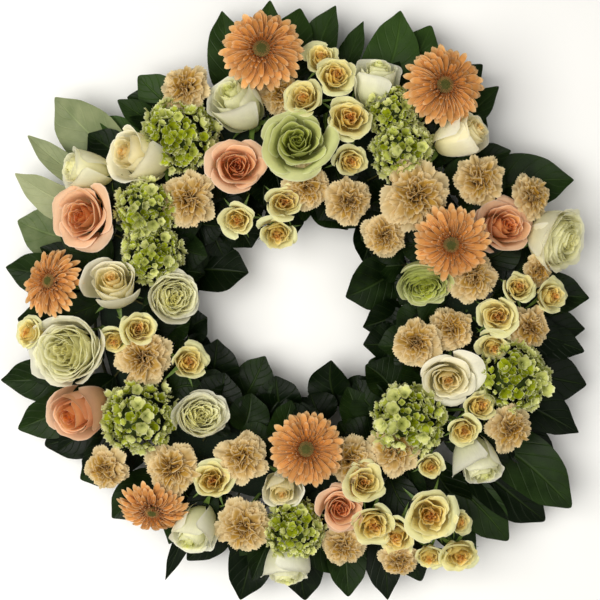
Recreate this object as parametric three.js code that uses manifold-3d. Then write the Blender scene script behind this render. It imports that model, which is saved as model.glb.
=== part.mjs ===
// Memorial wreath: fresh flowers and leaves pushed into a ring of wet floral foam in a plastic tray.
// It lies flat on its tray with the flowers facing up.
// Lengths are millimetres: +X right, +Y towards the top of the wreath, +Z out of its face.

import * as THREE from 'three';
import { mergeVertices } from 'three/addons/utils/BufferGeometryUtils.js';
import Module from 'manifold-3d';

const wasm = await Module();
wasm.setup();

// ---- Driving dimensions ----

const GAP = 0.3; // clear space between pieces that touch
const TOLERANCE = 0.02; // edges shorter than this, left by a cut, are closed up
const RING_SEGMENTS = 36;
const TRAY = { inner: 133, outer: 202, wall: 2, floor: 2, height: 12 };
const FOAM = { top: 50, chamfer: 8 };

// Heads that stand nearest to the centre and furthest from it, and where their stems enter the foam.
const HEAD_REACH = { inner: 80, outer: 270 };
const FOOT_REACH = { inner: 147, outer: 188 };
const FOOT_HEIGHT = 18; // how high above the table the cut end of a stem stops in the foam

const STEM_SIDES = 4;
const STEM_STEPS = 3;
const BRANCH_STEPS = 2;
const NECK = 12; // length of stem that stays in line with the flower it carries
const BRANCHING_HEIGHT = 60; // where a spray's stem divides
const BRANCH_TAPER = 0.85; // thickness of its branches against the stem

const SALAL = { stemRadius: 1.9, height: 20, outerReach: 208, innerReach: 126, turnIn: 22, bends: 5 };
const LEAF = { thickness: 1.6, fold: 0.16, roll: 0.26, arch: 0.09, petiole: 16, growth: 0.8 };

// ---- Kinds of flower ----
// A profile lists [radius, height] from the hip of the flower to its crown, in units of the head's radius.
// The last ring before the crown is the flower's heart: the bud of a rose, or the disc of a gerbera.
// Every second segment is drawn in by `notch` and raised by `ruffle`, which makes the petals.

const ROSE = {
  profile: [[0, -1.1], [0.8, -0.55], [1, 0.08], [0.62, 0.2], [0.5, 0.38], [0.16, 0.47], [0, 0.5]],
  segments: 10, notch: 0.06, ruffle: 0.03, stemRadius: 2.8, roughness: 0.6,
};
const SPRAY_ROSE = {
  profile: [[0, -1], [0.75, -0.55], [1, 0.1], [0.55, 0.36], [0.18, 0.43], [0, 0.46]],
  segments: 8, notch: 0.08, ruffle: 0.03, stemRadius: 2.1, roughness: 0.6,
};
const CARNATION = {
  profile: [[0, -1.15], [0.3, -0.5], [1, -0.04], [0.78, 0.32], [0.22, 0.4], [0, 0.42]],
  segments: 10, notch: 0.12, ruffle: 0.09, stemRadius: 2.1, roughness: 0.7,
};
const GERBERA = {
  profile: [[0, -0.36], [0.32, -0.28], [1, -0.02], [0.4, 0.11], [0.2, 0.13], [0, 0.16]],
  segments: 20, notch: 0.16, ruffle: 0, stemRadius: 2.6, roughness: 0.65,
};
const SNOWBALL = {
  profile: [[0, -0.62], [0.7, -0.45], [1, 0], [0.66, 0.52], [0.24, 0.65], [0, 0.68]],
  segments: 10, notch: 0.1, ruffle: 0.08, stemRadius: 2.6, roughness: 0.75,
};

const COLOURS = {
  cream: '#f1e6bd', white: '#eff0d9', green: '#dbe6ae', peach: '#f2b58f', yellow: '#f3dc98',
  buff: '#edbf88', apricot: '#f09a63', lime: '#b4cc5c', leaf: '#1f3f25', foam: '#2c5a3a', tray: '#20382a',
};

// ---- Where each flower stands ----
// A head is [x, y, height, lean towards +X, lean towards +Y, radius].
// The leans are how far the face tips sideways for each unit that it looks up.

const FLOWERS = [
  single('gerbera_top', GERBERA, 'apricot', [-31, 256, 103, 0, 0.12, 41]),
  single('gerbera_top_right', GERBERA, 'apricot', [150, 221, 100, 0.15, 0.05, 40]),
  single('gerbera_right', GERBERA, 'apricot', [156, 64, 114, -0.1, -0.4, 38]),
  single('gerbera_bottom', GERBERA, 'apricot', [13, -139, 112, 0, 0.1, 37]),
  single('gerbera_left', GERBERA, 'apricot', [-243, 26, 84, -0.6, 0.3, 35]),
  single('gerbera_bottom_left', GERBERA, 'apricot', [-141, -202, 84, -0.1, -0.9, 35]),

  single('rose_green_top', ROSE, 'green', [5, 165, 101, 0, 0.1, 35]),
  single('rose_white_top_left', ROSE, 'white', [-57, 208, 88, -0.35, 0.45, 31]),
  single('rose_peach_top_left', ROSE, 'peach', [-56, 141, 96, 0.1, 0, 29]),
  single('rose_white_top_right', ROSE, 'white', [84, 230, 82, 0.1, 0.9, 27]),
  single('rose_cream_top_left', ROSE, 'cream', [-157, 154, 86, -0.6, 0.1, 32]),
  single('rose_green_top_left', ROSE, 'green', [-213, 140, 74, -1.1, 0.2, 27]),
  single('rose_peach_left', ROSE, 'peach', [-210, 92, 82, -0.4, 0, 32]),
  single('rose_cream_left', ROSE, 'cream', [-180, 24, 92, 0, 0.25, 29]),
  single('rose_green_inner_left', ROSE, 'green', [-120, 12, 86, 0.4, 0, 25]),
  single('rose_green_left', ROSE, 'green', [-225, -43, 82, -0.3, 0, 36]),
  single('rose_peach_bottom_left', ROSE, 'peach', [-216, -104, 82, -0.35, -0.2, 32]),
  single('rose_green_inner_bottom_left', ROSE, 'green', [-93, -108, 84, 0.3, 0.2, 25]),
  single('rose_white_bottom_left', ROSE, 'white', [-100, -226, 78, -0.3, -0.7, 27]),
  single('rose_cream_bottom', ROSE, 'cream', [-11, -180, 90, 0, -0.3, 22]),
  single('rose_peach_bottom', ROSE, 'peach', [47, -200, 90, 0.1, 0, 23]),
  single('rose_white_bottom', ROSE, 'white', [-6, -262, 70, 0, -1.2, 26]),
  single('rose_white_bottom_right', ROSE, 'white', [189, -157, 78, 0.3, -0.9, 28]),
  single('rose_cream_right', ROSE, 'cream', [154, -70, 94, 0, -0.2, 31]),
  single('rose_cream_top_right', ROSE, 'cream', [174, 175, 80, 0.9, 0.4, 29]),
  single('rose_peach_right', ROSE, 'peach', [211, 82, 84, 0.4, 0.1, 31]),
  single('rose_green_right', ROSE, 'green', [268, 70, 70, 1.1, -0.4, 33]),
  single('rose_green_inner_right', ROSE, 'green', [133, 26, 82, 0, -0.8, 25]),

  spray('spray_rose_top', SPRAY_ROSE, 'yellow', [
    [29, 250, 86, -0.1, 0.4, 17], [42, 231, 96, 0.2, 0.2, 20], [11, 208, 98, -0.2, 0.2, 20],
    [56, 189, 96, 0.1, 0, 24], [57, 148, 88, 0.3, -0.3, 18]]),
  spray('spray_rose_inner_top', SPRAY_ROSE, 'yellow', [
    [-55, 89, 84, -0.1, -0.3, 18], [-9, 106, 88, 0.1, 0, 19], [-16, 76, 76, 0, -0.5, 18]]),
  spray('spray_rose_left', SPRAY_ROSE, 'yellow', [
    [-154, -21, 94, 0.3, 0.2, 18], [-178, -32, 88, -0.2, -0.4, 15], [-106, -54, 88, 0.4, 0.1, 20]]),
  spray('spray_rose_far_left', SPRAY_ROSE, 'yellow', [[-265, -26, 74, -0.8, 0.2, 18]]),
  spray('spray_rose_bottom_left', SPRAY_ROSE, 'cream', [[-80, -172, 90, 0, 0.1, 21]]),
  spray('spray_rose_bottom', SPRAY_ROSE, 'yellow', [[70, -174, 96, 0.2, 0.2, 20], [80, -216, 88, 0.1, -0.2, 22]]),
  spray('spray_rose_bottom_right', SPRAY_ROSE, 'cream', [
    [137, -206, 92, 0, 0, 26], [167, -248, 76, 0.2, -0.4, 20], [166, -215, 84, 0.6, 0, 14],
    [138, -250, 74, -0.1, -0.6, 15], [104, -228, 80, -0.3, -0.3, 21]]),
  spray('spray_rose_right', SPRAY_ROSE, 'yellow', [
    [170, -121, 96, 0, -0.3, 17], [186, -98, 92, 0.3, 0.2, 17], [137, -158, 88, 0.1, -0.2, 14]]),
  spray('spray_rose_outer_right', SPRAY_ROSE, 'yellow', [
    [226, 20, 84, 0.1, 0.3, 17], [259, 12, 76, 0.6, 0, 18], [205, -8, 90, -0.1, 0, 20],
    [201, -38, 84, 0, -0.5, 16]]),

  spray('carnation_top_left', CARNATION, 'buff', [
    [-107, 220, 78, -0.3, 0.3, 25], [-12, 214, 72, 0, 0.2, 22], [-104, 108, 88, -0.1, 0, 27]]),
  spray('carnation_inner_top', CARNATION, 'buff', [
    [15, 121, 86, 0, -0.2, 23], [55, 108, 84, 0.2, -0.3, 24], [92, 74, 82, 0, -0.4, 23],
    [122, 112, 92, 0, 0, 34]]),
  spray('carnation_outer_right', CARNATION, 'buff', [
    [186, 127, 86, 0.2, 0.1, 26], [240, 112, 74, 0.6, 0.2, 22], [180, 30, 82, 0.2, 0, 24],
    [247, 38, 68, 0.5, -0.2, 17]]),
  spray('carnation_right', CARNATION, 'buff', [
    [124, -34, 88, -0.2, 0, 25], [160, -22, 80, 0, 0.4, 23], [236, -20, 78, 0.4, -0.2, 23],
    [216, -120, 82, 0.4, -0.2, 24]]),
  spray('carnation_left', CARNATION, 'buff', [
    [-150, -50, 84, 0, 0, 28], [-188, -161, 76, -0.3, -0.4, 23], [-120, -160, 90, 0, 0, 27]]),
  spray('carnation_bottom_left', CARNATION, 'buff', [
    [-51, -149, 88, 0, 0.1, 25], [-50, -218, 82, 0, -0.2, 27], [57, -152, 86, 0, 0.1, 24]]),
  spray('carnation_bottom', CARNATION, 'buff', [
    [50, -238, 76, 0, -0.4, 22], [107, -254, 70, 0, -0.6, 20], [102, -142, 84, -0.1, 0.1, 25]]),

  single('snowball_top_left', SNOWBALL, 'lime', [-115, 174, 82, -0.1, 0.1, 36]),
  spray('snowball_left', SNOWBALL, 'lime', [[-147, 98, 84, -0.1, 0.1, 26], [-142, 56, 82, 0, -0.1, 25]]),
  spray('snowball_top_right', SNOWBALL, 'lime', [[98, 198, 80, 0, 0.1, 26], [110, 158, 82, 0.1, 0, 30]]),
  single('snowball_bottom_left', SNOWBALL, 'lime', [-154, -110, 86, -0.1, 0, 36]),
  single('snowball_bottom_right', SNOWBALL, 'lime', [116, -112, 86, 0, 0, 36]),
  single('snowball_right', SNOWBALL, 'lime', [222, -70, 80, 0.2, -0.1, 36]),
  single('snowball_bottom', SNOWBALL, 'lime', [2, -222, 82, 0, -0.1, 30]),
];

// ---- Where the leaves stand ----
// A leaf is [angle round the ring where it leaves its branch, in degrees, tip x, tip y, tip height, width].

const BRANCHES = [
  outerBranch('salal_top_right', [
    [6, 307, 10, 34, 44], [32, 290, 132, 40, 54], [40, 222, 160, 62, 30], [49, 212, 228, 44, 34],
    [55, 196, 252, 36, 44], [63, 143, 293, 32, 48], [70, 111, 307, 40, 52], [78, 73, 298, 30, 26],
    [85, 44, 313, 36, 40]]),
  outerBranch('salal_top_left', [
    [92, 7, 311, 32, 44], [98, -24, 318, 38, 32], [106, -74, 308, 34, 40], [116, -160, 239, 42, 40],
    [124, -180, 213, 52, 24], [132, -201, 196, 44, 26], [140, -247, 218, 36, 54], [147, -273, 177, 48, 24],
    [153, -288, 139, 38, 36]]),
  outerBranch('salal_bottom_left', [
    [162, -286, 90, 34, 48], [172, -297, 42, 40, 44], [183, -286, -12, 34, 40], [193, -303, -75, 36, 50],
    [203, -284, -125, 42, 44], [211, -258, -143, 32, 44], [221, -220, -177, 40, 44], [231, -188, -218, 34, 40],
    [243, -132, -281, 42, 18], [252, -110, -262, 34, 36]]),
  outerBranch('salal_bottom', [
    [262, -55, -303, 34, 42], [269, -42, -280, 50, 34], [275, 12, -303, 36, 44], [283, 57, -298, 42, 38],
    [290, 98, -303, 34, 38], [297, 132, -282, 42, 40]]),
  outerBranch('salal_bottom_right', [
    [306, 190, -258, 34, 44], [311, 222, -240, 42, 42], [319, 262, -222, 28, 50], [326, 286, -205, 48, 52],
    [332, 272, -168, 32, 44], [338, 295, -129, 40, 48], [344, 304, -80, 34, 50], [352, 300, -45, 44, 34],
    [358, 303, -22, 32, 42]]),
  innerBranch('salal_inner_right', [
    [79, 56, 80, 46, 44], [54, 72, 48, 38, 36], [22, 54, 11, 46, 50], [2, 72, -20, 36, 38],
    [-14, 72, -38, 46, 36], [-30, 76, -74, 38, 40], [-66, 39, -54, 46, 42]]),
  innerBranch('salal_inner_left', [
    [94, 2, 74, 40, 38], [124, -43, 62, 38, 42], [162, -46, 36, 46, 50], [194, -89, -10, 36, 36],
    [226, -78, -32, 46, 46], [242, -29, -50, 38, 38], [265, -18, -70, 46, 42]]),
];

// ---- Solids ----

// A closed geometry as a solid that can be joined and cut.
function solid(geometry) {
  geometry.deleteAttribute('normal');
  geometry.deleteAttribute('uv');
  const merged = mergeVertices(geometry, 1e-3);
  const triangles = [];
  for (let i = 0; i < merged.index.count; i += 3) {
    const corners = [0, 1, 2].map((k) => merged.index.getX(i + k));
    if (new Set(corners).size === 3) triangles.push(...corners);
  }
  const vertProperties = merged.attributes.position.array;
  return new wasm.Manifold(new wasm.Mesh({ numProp: 3, vertProperties, triVerts: new Uint32Array(triangles) }));
}

function join(solids) {
  return solids.reduce((whole, part) => whole.add(part));
}

function boxesMeet(a, b) {
  const [p, q] = [a.boundingBox(), b.boundingBox()];
  return [0, 1, 2].every((axis) => p.min[axis] < q.max[axis] && q.min[axis] < p.max[axis]);
}

// What is left of a solid outside the others.
function cutClear(piece, others) {
  for (const other of others) {
    if (!piece.isEmpty() && boxesMeet(piece, other) && !piece.intersect(other).isEmpty()) {
      piece = piece.subtract(other);
    }
  }
  return piece;
}

function largestBody(piece) {
  return piece.decompose().reduce((best, body) => (body.volume() > best.volume() ? body : best));
}

function lathe(profile) {
  const points = profile.map(([radius, height]) => new THREE.Vector2(radius, height));
  const geometry = new THREE.LatheGeometry([...points, points[0]], RING_SEGMENTS);
  return solid(geometry.rotateX(Math.PI / 2));
}

// A stem along a smooth curve; a grown one is thicker and reaches further at its foot.
function tube(points, radius, steps, grow) {
  const section = new THREE.Shape();
  for (let side = 0; side < STEM_SIDES; side++) {
    const turn = (side / STEM_SIDES) * 2 * Math.PI;
    const corner = [(radius + grow) * Math.cos(turn), (radius + grow) * Math.sin(turn)];
    if (side === 0) section.moveTo(...corner);
    else section.lineTo(...corner);
  }
  section.closePath();
  const extrudePath = new THREE.CatmullRomCurve3(points);
  const geometry = new THREE.ExtrudeGeometry(section, { steps, extrudePath, curveSegments: 1 });
  const [foot, next] = points;
  const longer = foot.clone().sub(next).setLength(grow);
  const position = geometry.attributes.position;
  for (let i = 0; i < position.count; i++) {
    const corner = new THREE.Vector3().fromBufferAttribute(position, i);
    if (corner.distanceTo(foot) < 2 * radius) position.setXYZ(i, ...corner.add(longer));
  }
  return solid(geometry);
}

// ---- Flowers ----

function single(name, kind, colour, head) {
  return { name, kind, colour, heads: [head] };
}

function spray(name, kind, colour, heads) {
  return { name, kind, colour, heads };
}

function facing([, , , leanX, leanY]) {
  return new THREE.Vector3(leanX, leanY, 1).normalize();
}

function centre([x, y, height]) {
  return new THREE.Vector3(x, y, height);
}

// A point on the flower's axis, `along` head radii in front of its centre.
function onAxis(head, along) {
  return centre(head).addScaledVector(facing(head), along * head[5]);
}

// The profile turned about the axis that the flower faces along, with its petals drawn in and ruffled.
function headSolid(kind, head, spin, grow) {
  const points = kind.profile.map(([radius, height]) => new THREE.Vector2(radius, height));
  const geometry = new THREE.LatheGeometry(points, kind.segments);
  const position = geometry.attributes.position;
  for (let i = 0; i < position.count; i++) {
    const isBetweenPetals = (Math.floor(i / points.length) % kind.segments) % 2 === 1;
    const radius = points[i % points.length].x;
    if (!isBetweenPetals) continue;
    position.setX(i, position.getX(i) * (1 - kind.notch));
    position.setZ(i, position.getZ(i) * (1 - kind.notch));
    position.setY(i, position.getY(i) + kind.ruffle * radius);
  }
  const turn = new THREE.Quaternion().setFromUnitVectors(new THREE.Vector3(0, 1, 0), facing(head));
  const scale = head[5] + grow;
  geometry.rotateY(spin).scale(scale, scale, scale).applyQuaternion(turn).translate(...centre(head));
  return solid(geometry);
}

function headSolids(flower, grow) {
  return flower.heads.map((head, index) => headSolid(flower.kind, head, index, grow));
}

// Where a flower's stem stands in the foam: below it, but drawn in to the foam's width.
function footOf(heads) {
  const middle = new THREE.Vector3();
  heads.forEach((head) => middle.add(centre(head).divideScalar(heads.length)));
  const reach = THREE.MathUtils.mapLinear(
    Math.hypot(middle.x, middle.y), HEAD_REACH.inner, HEAD_REACH.outer, FOOT_REACH.inner, FOOT_REACH.outer);
  return middle.setZ(0).setLength(reach).setZ(FOOT_HEIGHT);
}

// A single stem enters the foam from above, or from its side where its flower hangs low at the edge.
// A spray's stem divides just above the foam, with a branch to each head.
function stemSolid({ kind, heads }, grow) {
  const hip = kind.profile[0][1];
  const foot = footOf(heads);
  const entry = foot.clone().setZ(FOAM.top + GAP);
  const intoHead = (head) => onAxis(head, hip / 2);
  const neckOf = (head) => onAxis(head, hip).addScaledVector(facing(head), -NECK);
  if (heads.length === 1) {
    const neck = neckOf(heads[0]);
    const lower = neck.z > BRANCHING_HEIGHT ? [foot, entry, neck] : [foot, neck];
    return tube([...lower, intoHead(heads[0])], kind.stemRadius, STEM_STEPS, grow);
  }
  const fork = foot.clone().setZ(BRANCHING_HEIGHT);
  const forkTop = foot.clone().setZ(BRANCHING_HEIGHT + kind.stemRadius);
  const branches = heads.map((head) => {
    const neck = neckOf(head);
    neck.setZ(Math.max(neck.z, BRANCHING_HEIGHT));
    return tube([fork, neck, intoHead(head)], kind.stemRadius * BRANCH_TAPER, BRANCH_STEPS, grow);
  });
  return join([tube([foot, forkTop], kind.stemRadius, 1, grow), ...branches]);
}

// ---- Leaves ----

function outerBranch(name, leaves) {
  return { name, reach: SALAL.outerReach, foamward: -1, leaves };
}

function innerBranch(name, leaves) {
  return { name, reach: SALAL.innerReach, foamward: 1, leaves };
}

function onRing(degrees, reach, height) {
  const turn = THREE.MathUtils.degToRad(degrees);
  return new THREE.Vector3(reach * Math.cos(turn), reach * Math.sin(turn), height);
}

// A woody stem lies along the side of the tray, with its cut end turned into the foam.
function woodyStem(branch, grow) {
  const first = branch.leaves[0][0];
  const last = branch.leaves.at(-1)[0];
  const onwards = Math.sign(last - first);
  const cutEnd = onRing(first - 9 * onwards, branch.reach + branch.foamward * SALAL.turnIn, SALAL.height + 4);
  const along = [cutEnd];
  for (let bend = 0; bend <= SALAL.bends; bend++) {
    const degrees = THREE.MathUtils.lerp(first - 2 * onwards, last + onwards, bend / SALAL.bends);
    along.push(onRing(degrees, branch.reach, SALAL.height));
  }
  return tube(along, SALAL.stemRadius, 2 * SALAL.bends, grow);
}

// A leaf grows from inside its branch: a petiole, then a pointed oval blade that is folded along its midrib,
// thin at the edges, rolled to lie over its neighbour and arched from base to tip.
function leafSolid(branch, [degrees, tipX, tipY, tipHeight, width], grow) {
  const root = onRing(degrees, branch.reach, SALAL.height);
  const tip = new THREE.Vector3(tipX, tipY, tipHeight);
  const along = tip.clone().sub(root);
  const length = along.length();
  const side = new THREE.Vector3(along.y, -along.x, 0).normalize();
  side.applyAxisAngle(along.clone().normalize(), LEAF.roll);
  const up = side.clone().cross(along).normalize();
  const half = LEAF.thickness / 2 + grow;
  // [distance from root to tip, half width], as shares of the leaf's length and half its width
  const bladeStart = LEAF.petiole / length;
  const stations = [
    [0, 0.06], [bladeStart, 0.1],
    [THREE.MathUtils.lerp(bladeStart, 1, 0.38), 1], [THREE.MathUtils.lerp(bladeStart, 1, 0.74), 0.74]];
  const corners = stations.flatMap(([share, spread]) => {
    const reach = spread * (width / 2 + grow);
    const middle = root.clone().lerp(tip, share);
    middle.addScaledVector(up, LEAF.arch * length * Math.sin(Math.PI * share));
    const edge = middle.clone().addScaledVector(up, LEAF.fold * reach);
    return [
      edge.clone().addScaledVector(side, -reach), middle.clone().addScaledVector(up, half),
      edge.clone().addScaledVector(side, reach), middle.clone().addScaledVector(up, -half)];
  });
  const faces = [[0, 2, 1], [0, 3, 2]];
  for (let station = 0; station < stations.length; station++) {
    for (let corner = 0; corner < 4; corner++) {
      const here = station * 4 + corner;
      const beside = station * 4 + ((corner + 1) % 4);
      if (station === stations.length - 1) faces.push([here, beside, corners.length]);
      else faces.push([here, beside, beside + 4], [here, beside + 4, here + 4]);
    }
  }
  const geometry = new THREE.BufferGeometry().setFromPoints([...corners, tip.addScaledVector(along, grow / length)]);
  return solid(geometry.setIndex(faces.flat()));
}

// ---- The holder ----

function tray() {
  const { inner, outer, wall, floor, height } = TRAY;
  return lathe([
    [inner, 0], [outer, 0], [outer, height], [outer - wall, height],
    [outer - wall, floor], [inner + wall, floor], [inner + wall, height], [inner, height]]);
}

function foam() {
  const { inner, outer, wall, floor } = TRAY;
  const { top, chamfer } = FOAM;
  const [near, far] = [inner + wall + GAP, outer - wall - GAP];
  return lathe([
    [near, floor + GAP], [far, floor + GAP], [far, top - chamfer],
    [far - chamfer, top], [near + chamfer, top], [near, top - chamfer]]);
}

// ---- Assembly ----

function meshOf(name, piece, colour, roughness) {
  const { vertProperties, triVerts } = piece.setTolerance(TOLERANCE).getMesh();
  const geometry = new THREE.BufferGeometry();
  geometry.setAttribute('position', new THREE.BufferAttribute(vertProperties, 3));
  geometry.setIndex(new THREE.BufferAttribute(triVerts, 1));
  geometry.computeVertexNormals();
  const mesh = new THREE.Mesh(geometry, new THREE.MeshStandardMaterial({ color: COLOURS[colour], roughness }));
  mesh.name = name;
  return mesh;
}

// Stems run whole from foot to flower, so heads and leaves are cut clear of every other plant's stem.
function build() {
  const plants = [
    ...FLOWERS.map((flower) => ({
      ...flower, roughness: flower.kind.roughness,
      stem: (grow) => stemSolid(flower, grow), soft: (grow) => headSolids(flower, grow),
    })),
    ...BRANCHES.map((branch) => ({
      ...branch, colour: 'leaf', roughness: 0.45,
      stem: (grow) => woodyStem(branch, grow),
      soft: (grow) => branch.leaves.map((leaf) => leafSolid(branch, leaf, grow && LEAF.growth)),
    })),
  ];
  const grownStems = plants.map((plant) => plant.stem(GAP));
  const taken = [];
  const group = new THREE.Group();
  plants.forEach((plant, index) => {
    const otherStems = grownStems.filter((_, other) => other !== index);
    const soft = [];
    for (const part of plant.soft(0)) {
      const clear = cutClear(part, [...otherStems, ...taken, ...soft.map((done) => done.grown)]);
      soft.push({ clear, grown: part });
    }
    const clearStem = cutClear(plant.stem(0), grownStems.slice(0, index));
    const piece = largestBody(join([clearStem, ...soft.map(({ clear }) => clear)]));
    taken.push(...plant.soft(GAP));
    group.add(meshOf(plant.name, piece, plant.colour, plant.roughness));
  });
  const soaked = largestBody(cutClear(foam(), [...grownStems, ...taken]));
  group.add(meshOf('floral_foam', soaked, 'foam', 0.95), meshOf('tray', tray(), 'tray', 0.4));
  const middle = new THREE.Box3().setFromObject(group).getCenter(new THREE.Vector3());
  group.position.set(-middle.x, -middle.y, 0);
  group.updateMatrixWorld(true);
  return group;
}

export default build();
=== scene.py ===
"""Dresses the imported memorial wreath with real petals, florets and leaves.

Every flower is grown where the frame's solid for it stands: the tip of a head's crown gives its place,
the way it faces and its size. Lengths are metres. A flower's own shape is written in radii of its head.
"""
import math
import zlib
from collections import namedtuple

import bmesh
import bpy
import numpy as np
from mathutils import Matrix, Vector


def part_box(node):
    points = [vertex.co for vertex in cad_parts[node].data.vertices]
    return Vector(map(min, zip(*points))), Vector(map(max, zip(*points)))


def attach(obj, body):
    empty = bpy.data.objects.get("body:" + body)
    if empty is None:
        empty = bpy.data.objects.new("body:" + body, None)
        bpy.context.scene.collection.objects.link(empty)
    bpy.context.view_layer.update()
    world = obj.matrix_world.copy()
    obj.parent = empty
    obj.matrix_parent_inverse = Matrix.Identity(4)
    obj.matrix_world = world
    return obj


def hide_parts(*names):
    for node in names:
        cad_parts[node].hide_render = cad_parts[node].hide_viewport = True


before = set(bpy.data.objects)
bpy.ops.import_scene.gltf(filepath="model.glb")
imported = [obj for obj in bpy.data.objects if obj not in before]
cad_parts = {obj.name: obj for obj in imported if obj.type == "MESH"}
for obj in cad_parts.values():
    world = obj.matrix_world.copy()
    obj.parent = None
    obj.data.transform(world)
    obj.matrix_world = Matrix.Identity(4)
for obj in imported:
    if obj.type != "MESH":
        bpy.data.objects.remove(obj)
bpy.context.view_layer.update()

GOLDEN_ANGLE = math.pi * (3 - math.sqrt(5))
Head = namedtuple("Head", "centre facing radius")

# The crown of each kind's solid, in head radii: how far the ring round its tip stands from the tip,
# how high the tip stands above the head's centre, and how many corners the ring has.
CROWNS = {
    "gerbera": (0.2022, 0.16, 18),
    "rose": (0.1628, 0.50, 10),
    "spray": (0.1825, 0.46, 8),
    "carnation": (0.2209, 0.42, 10),
    "snowball": (0.2419, 0.68, 10),
}

FOAM_BREADTH = 0.064  # from the inner side of the foam ring to its outer one
tray_low, tray_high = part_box("tray")
foam_low, foam_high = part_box("floral_foam")
RING_CENTRE = (tray_low + tray_high) / 2
RING_OUTER = (foam_high.x - foam_low.x) / 2
RING_INNER = RING_OUTER - FOAM_BREADTH
FOAM_TOP = foam_high.z

# The places of materials in a piece's list, after that of its petals or blades.
STALK = 1  # green stems and hips, or the bark of a branch
HEART = 2  # the disc of a gerbera or the core of a snowball
HEART_RIM = 3


# ---- Small helpers ----

def seeded(name):
    """Random numbers that are the same for a name on every run."""
    return np.random.default_rng(zlib.crc32(name.encode()))


def mix(a, b, t):
    return a + (b - a) * t


def smoothstep(low, high, x):
    t = np.clip((x - low) / (high - low), 0, 1)
    return t * t * (3 - 2 * t)


def bezier(points, v):
    """Radius and height along a cubic curve, for an array of steps v from 0 to 1."""
    weights = [(1 - v) ** 3, 3 * v * (1 - v) ** 2, 3 * v ** 2 * (1 - v), v ** 3]
    return [sum(w * p[axis] for w, p in zip(weights, points)) for axis in (0, 1)]


def unit(vector):
    vector = np.asarray(vector, float)
    return vector / np.linalg.norm(vector)


def basis(facing):
    """Rows are two directions across the facing one, and the facing one itself."""
    facing = unit(facing)
    side = np.cross((0, 1, 0) if abs(facing[1]) < 0.9 else (1, 0, 0), facing)
    side = unit(side)
    return np.array([side, np.cross(facing, side), facing])


def turned(grid, angle):
    """A grid of points turned round its upright axis."""
    cosine, sine = math.cos(angle), math.sin(angle)
    return grid @ np.array([[cosine, sine, 0], [-sine, cosine, 0], [0, 0, 1]])


def linear(code):
    """A hex colour as linear red, green, blue and alpha."""
    parts = [int(code[i:i + 2], 16) / 255 for i in (1, 3, 5)]
    return [c / 12.92 if c <= 0.04045 else ((c + 0.055) / 1.055) ** 2.4 for c in parts] + [1.0]


# ---- Meshes made of many small sheets ----

class Growth:
    """Gathers grids of points into one mesh, with the numbers that its materials read.

    Each corner keeps its place on its own sheet as UV (across, along), the sheet's ring in the flower
    (0 at the heart, 1 outside) and a random tone.
    """

    def __init__(self):
        self.points, self.faces, self.uv, self.rings, self.tones, self.slots = [], [], [], [], [], []
        self.count = 0
        self.in_world()

    def in_world(self):
        """Takes what is added next as it stands, in the frame's own coordinates."""
        self.origin, self.axes, self.scale = np.zeros(3), np.eye(3), 1.0

    def stand(self, centre, facing, scale):
        """Puts what is added next at a place, along a direction and at a size."""
        self.origin = np.asarray(centre, float)
        self.axes = basis(facing)
        self.scale = scale

    def sheet(self, grid, ring=0.0, tone=0.5, material=0):
        """Adds a grid shaped (rows, columns, 3), its rows running from base to tip."""
        rows, columns = grid.shape[:2]
        self.points.append(grid.reshape(-1, 3) @ self.axes * self.scale + self.origin)
        v, u = np.meshgrid(np.linspace(0, 1, rows), np.linspace(0, 1, columns), indexing="ij")
        self.uv.append(np.stack([u, v], -1).reshape(-1, 2))
        corner = self.count + (np.arange(rows - 1)[:, None] * columns + np.arange(columns - 1)[None, :])
        faces = np.stack([corner, corner + 1, corner + columns + 1, corner + columns], -1).reshape(-1, 4)
        self.faces.append(faces)
        self.rings.append(np.full(rows * columns, ring))
        self.tones.append(np.full(rows * columns, tone))
        self.slots.append(np.full(len(faces), material))
        self.count += rows * columns

    def tube(self, path, radii, sides):
        """Adds a round stem through points, open at both ends."""
        path = np.asarray(path, float)
        tangents = np.gradient(path, axis=0)
        turns = np.linspace(0, 2 * math.pi, sides + 1)
        rows = []
        for point, tangent, radius in zip(path, tangents, radii):
            across, up, _ = basis(tangent)
            rows.append(point + radius * (np.cos(turns)[:, None] * across + np.sin(turns)[:, None] * up))
        self.sheet(np.array(rows), material=STALK)

    def build(self, name, materials, slot, *nodes):
        """Makes the Blender object, rides it on the wreath and lets it stand for the frame's nodes."""
        points = np.concatenate(self.points)
        faces = np.concatenate(self.faces)
        mesh = bpy.data.meshes.new(name)
        mesh.vertices.add(len(points))
        mesh.vertices.foreach_set("co", points.ravel())
        mesh.loops.add(faces.size)
        mesh.loops.foreach_set("vertex_index", faces.ravel())
        mesh.polygons.add(len(faces))
        mesh.polygons.foreach_set("loop_start", np.arange(len(faces)) * 4)
        mesh.polygons.foreach_set("loop_total", np.full(len(faces), 4))
        mesh.polygons.foreach_set("material_index", np.concatenate(self.slots).astype(np.int32))
        mesh.polygons.foreach_set("use_smooth", np.ones(len(faces), bool))
        layer = mesh.uv_layers.new(name="sheet")
        layer.data.foreach_set("uv", np.concatenate(self.uv)[faces.ravel()].ravel())
        for label, values in (("ring", self.rings), ("tone", self.tones)):
            attribute = mesh.attributes.new(label, "FLOAT", "POINT")
            attribute.data.foreach_set("value", np.concatenate(values))
        mesh.update()
        mesh.validate()
        for material in materials:
            mesh.materials.append(material)
        piece = bpy.data.objects.new(name, mesh)
        bpy.context.scene.collection.objects.link(piece)
        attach(piece, "root")
        if nodes:
            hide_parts(*nodes)


# ---- Where the frame's flowers stand ----

UNEVEN = 1.2  # how many times the shortest spoke of a crown's tip its longest one may be
LEAST_UPWARD = 0.3  # how far up a crown's tip has to face


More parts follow.
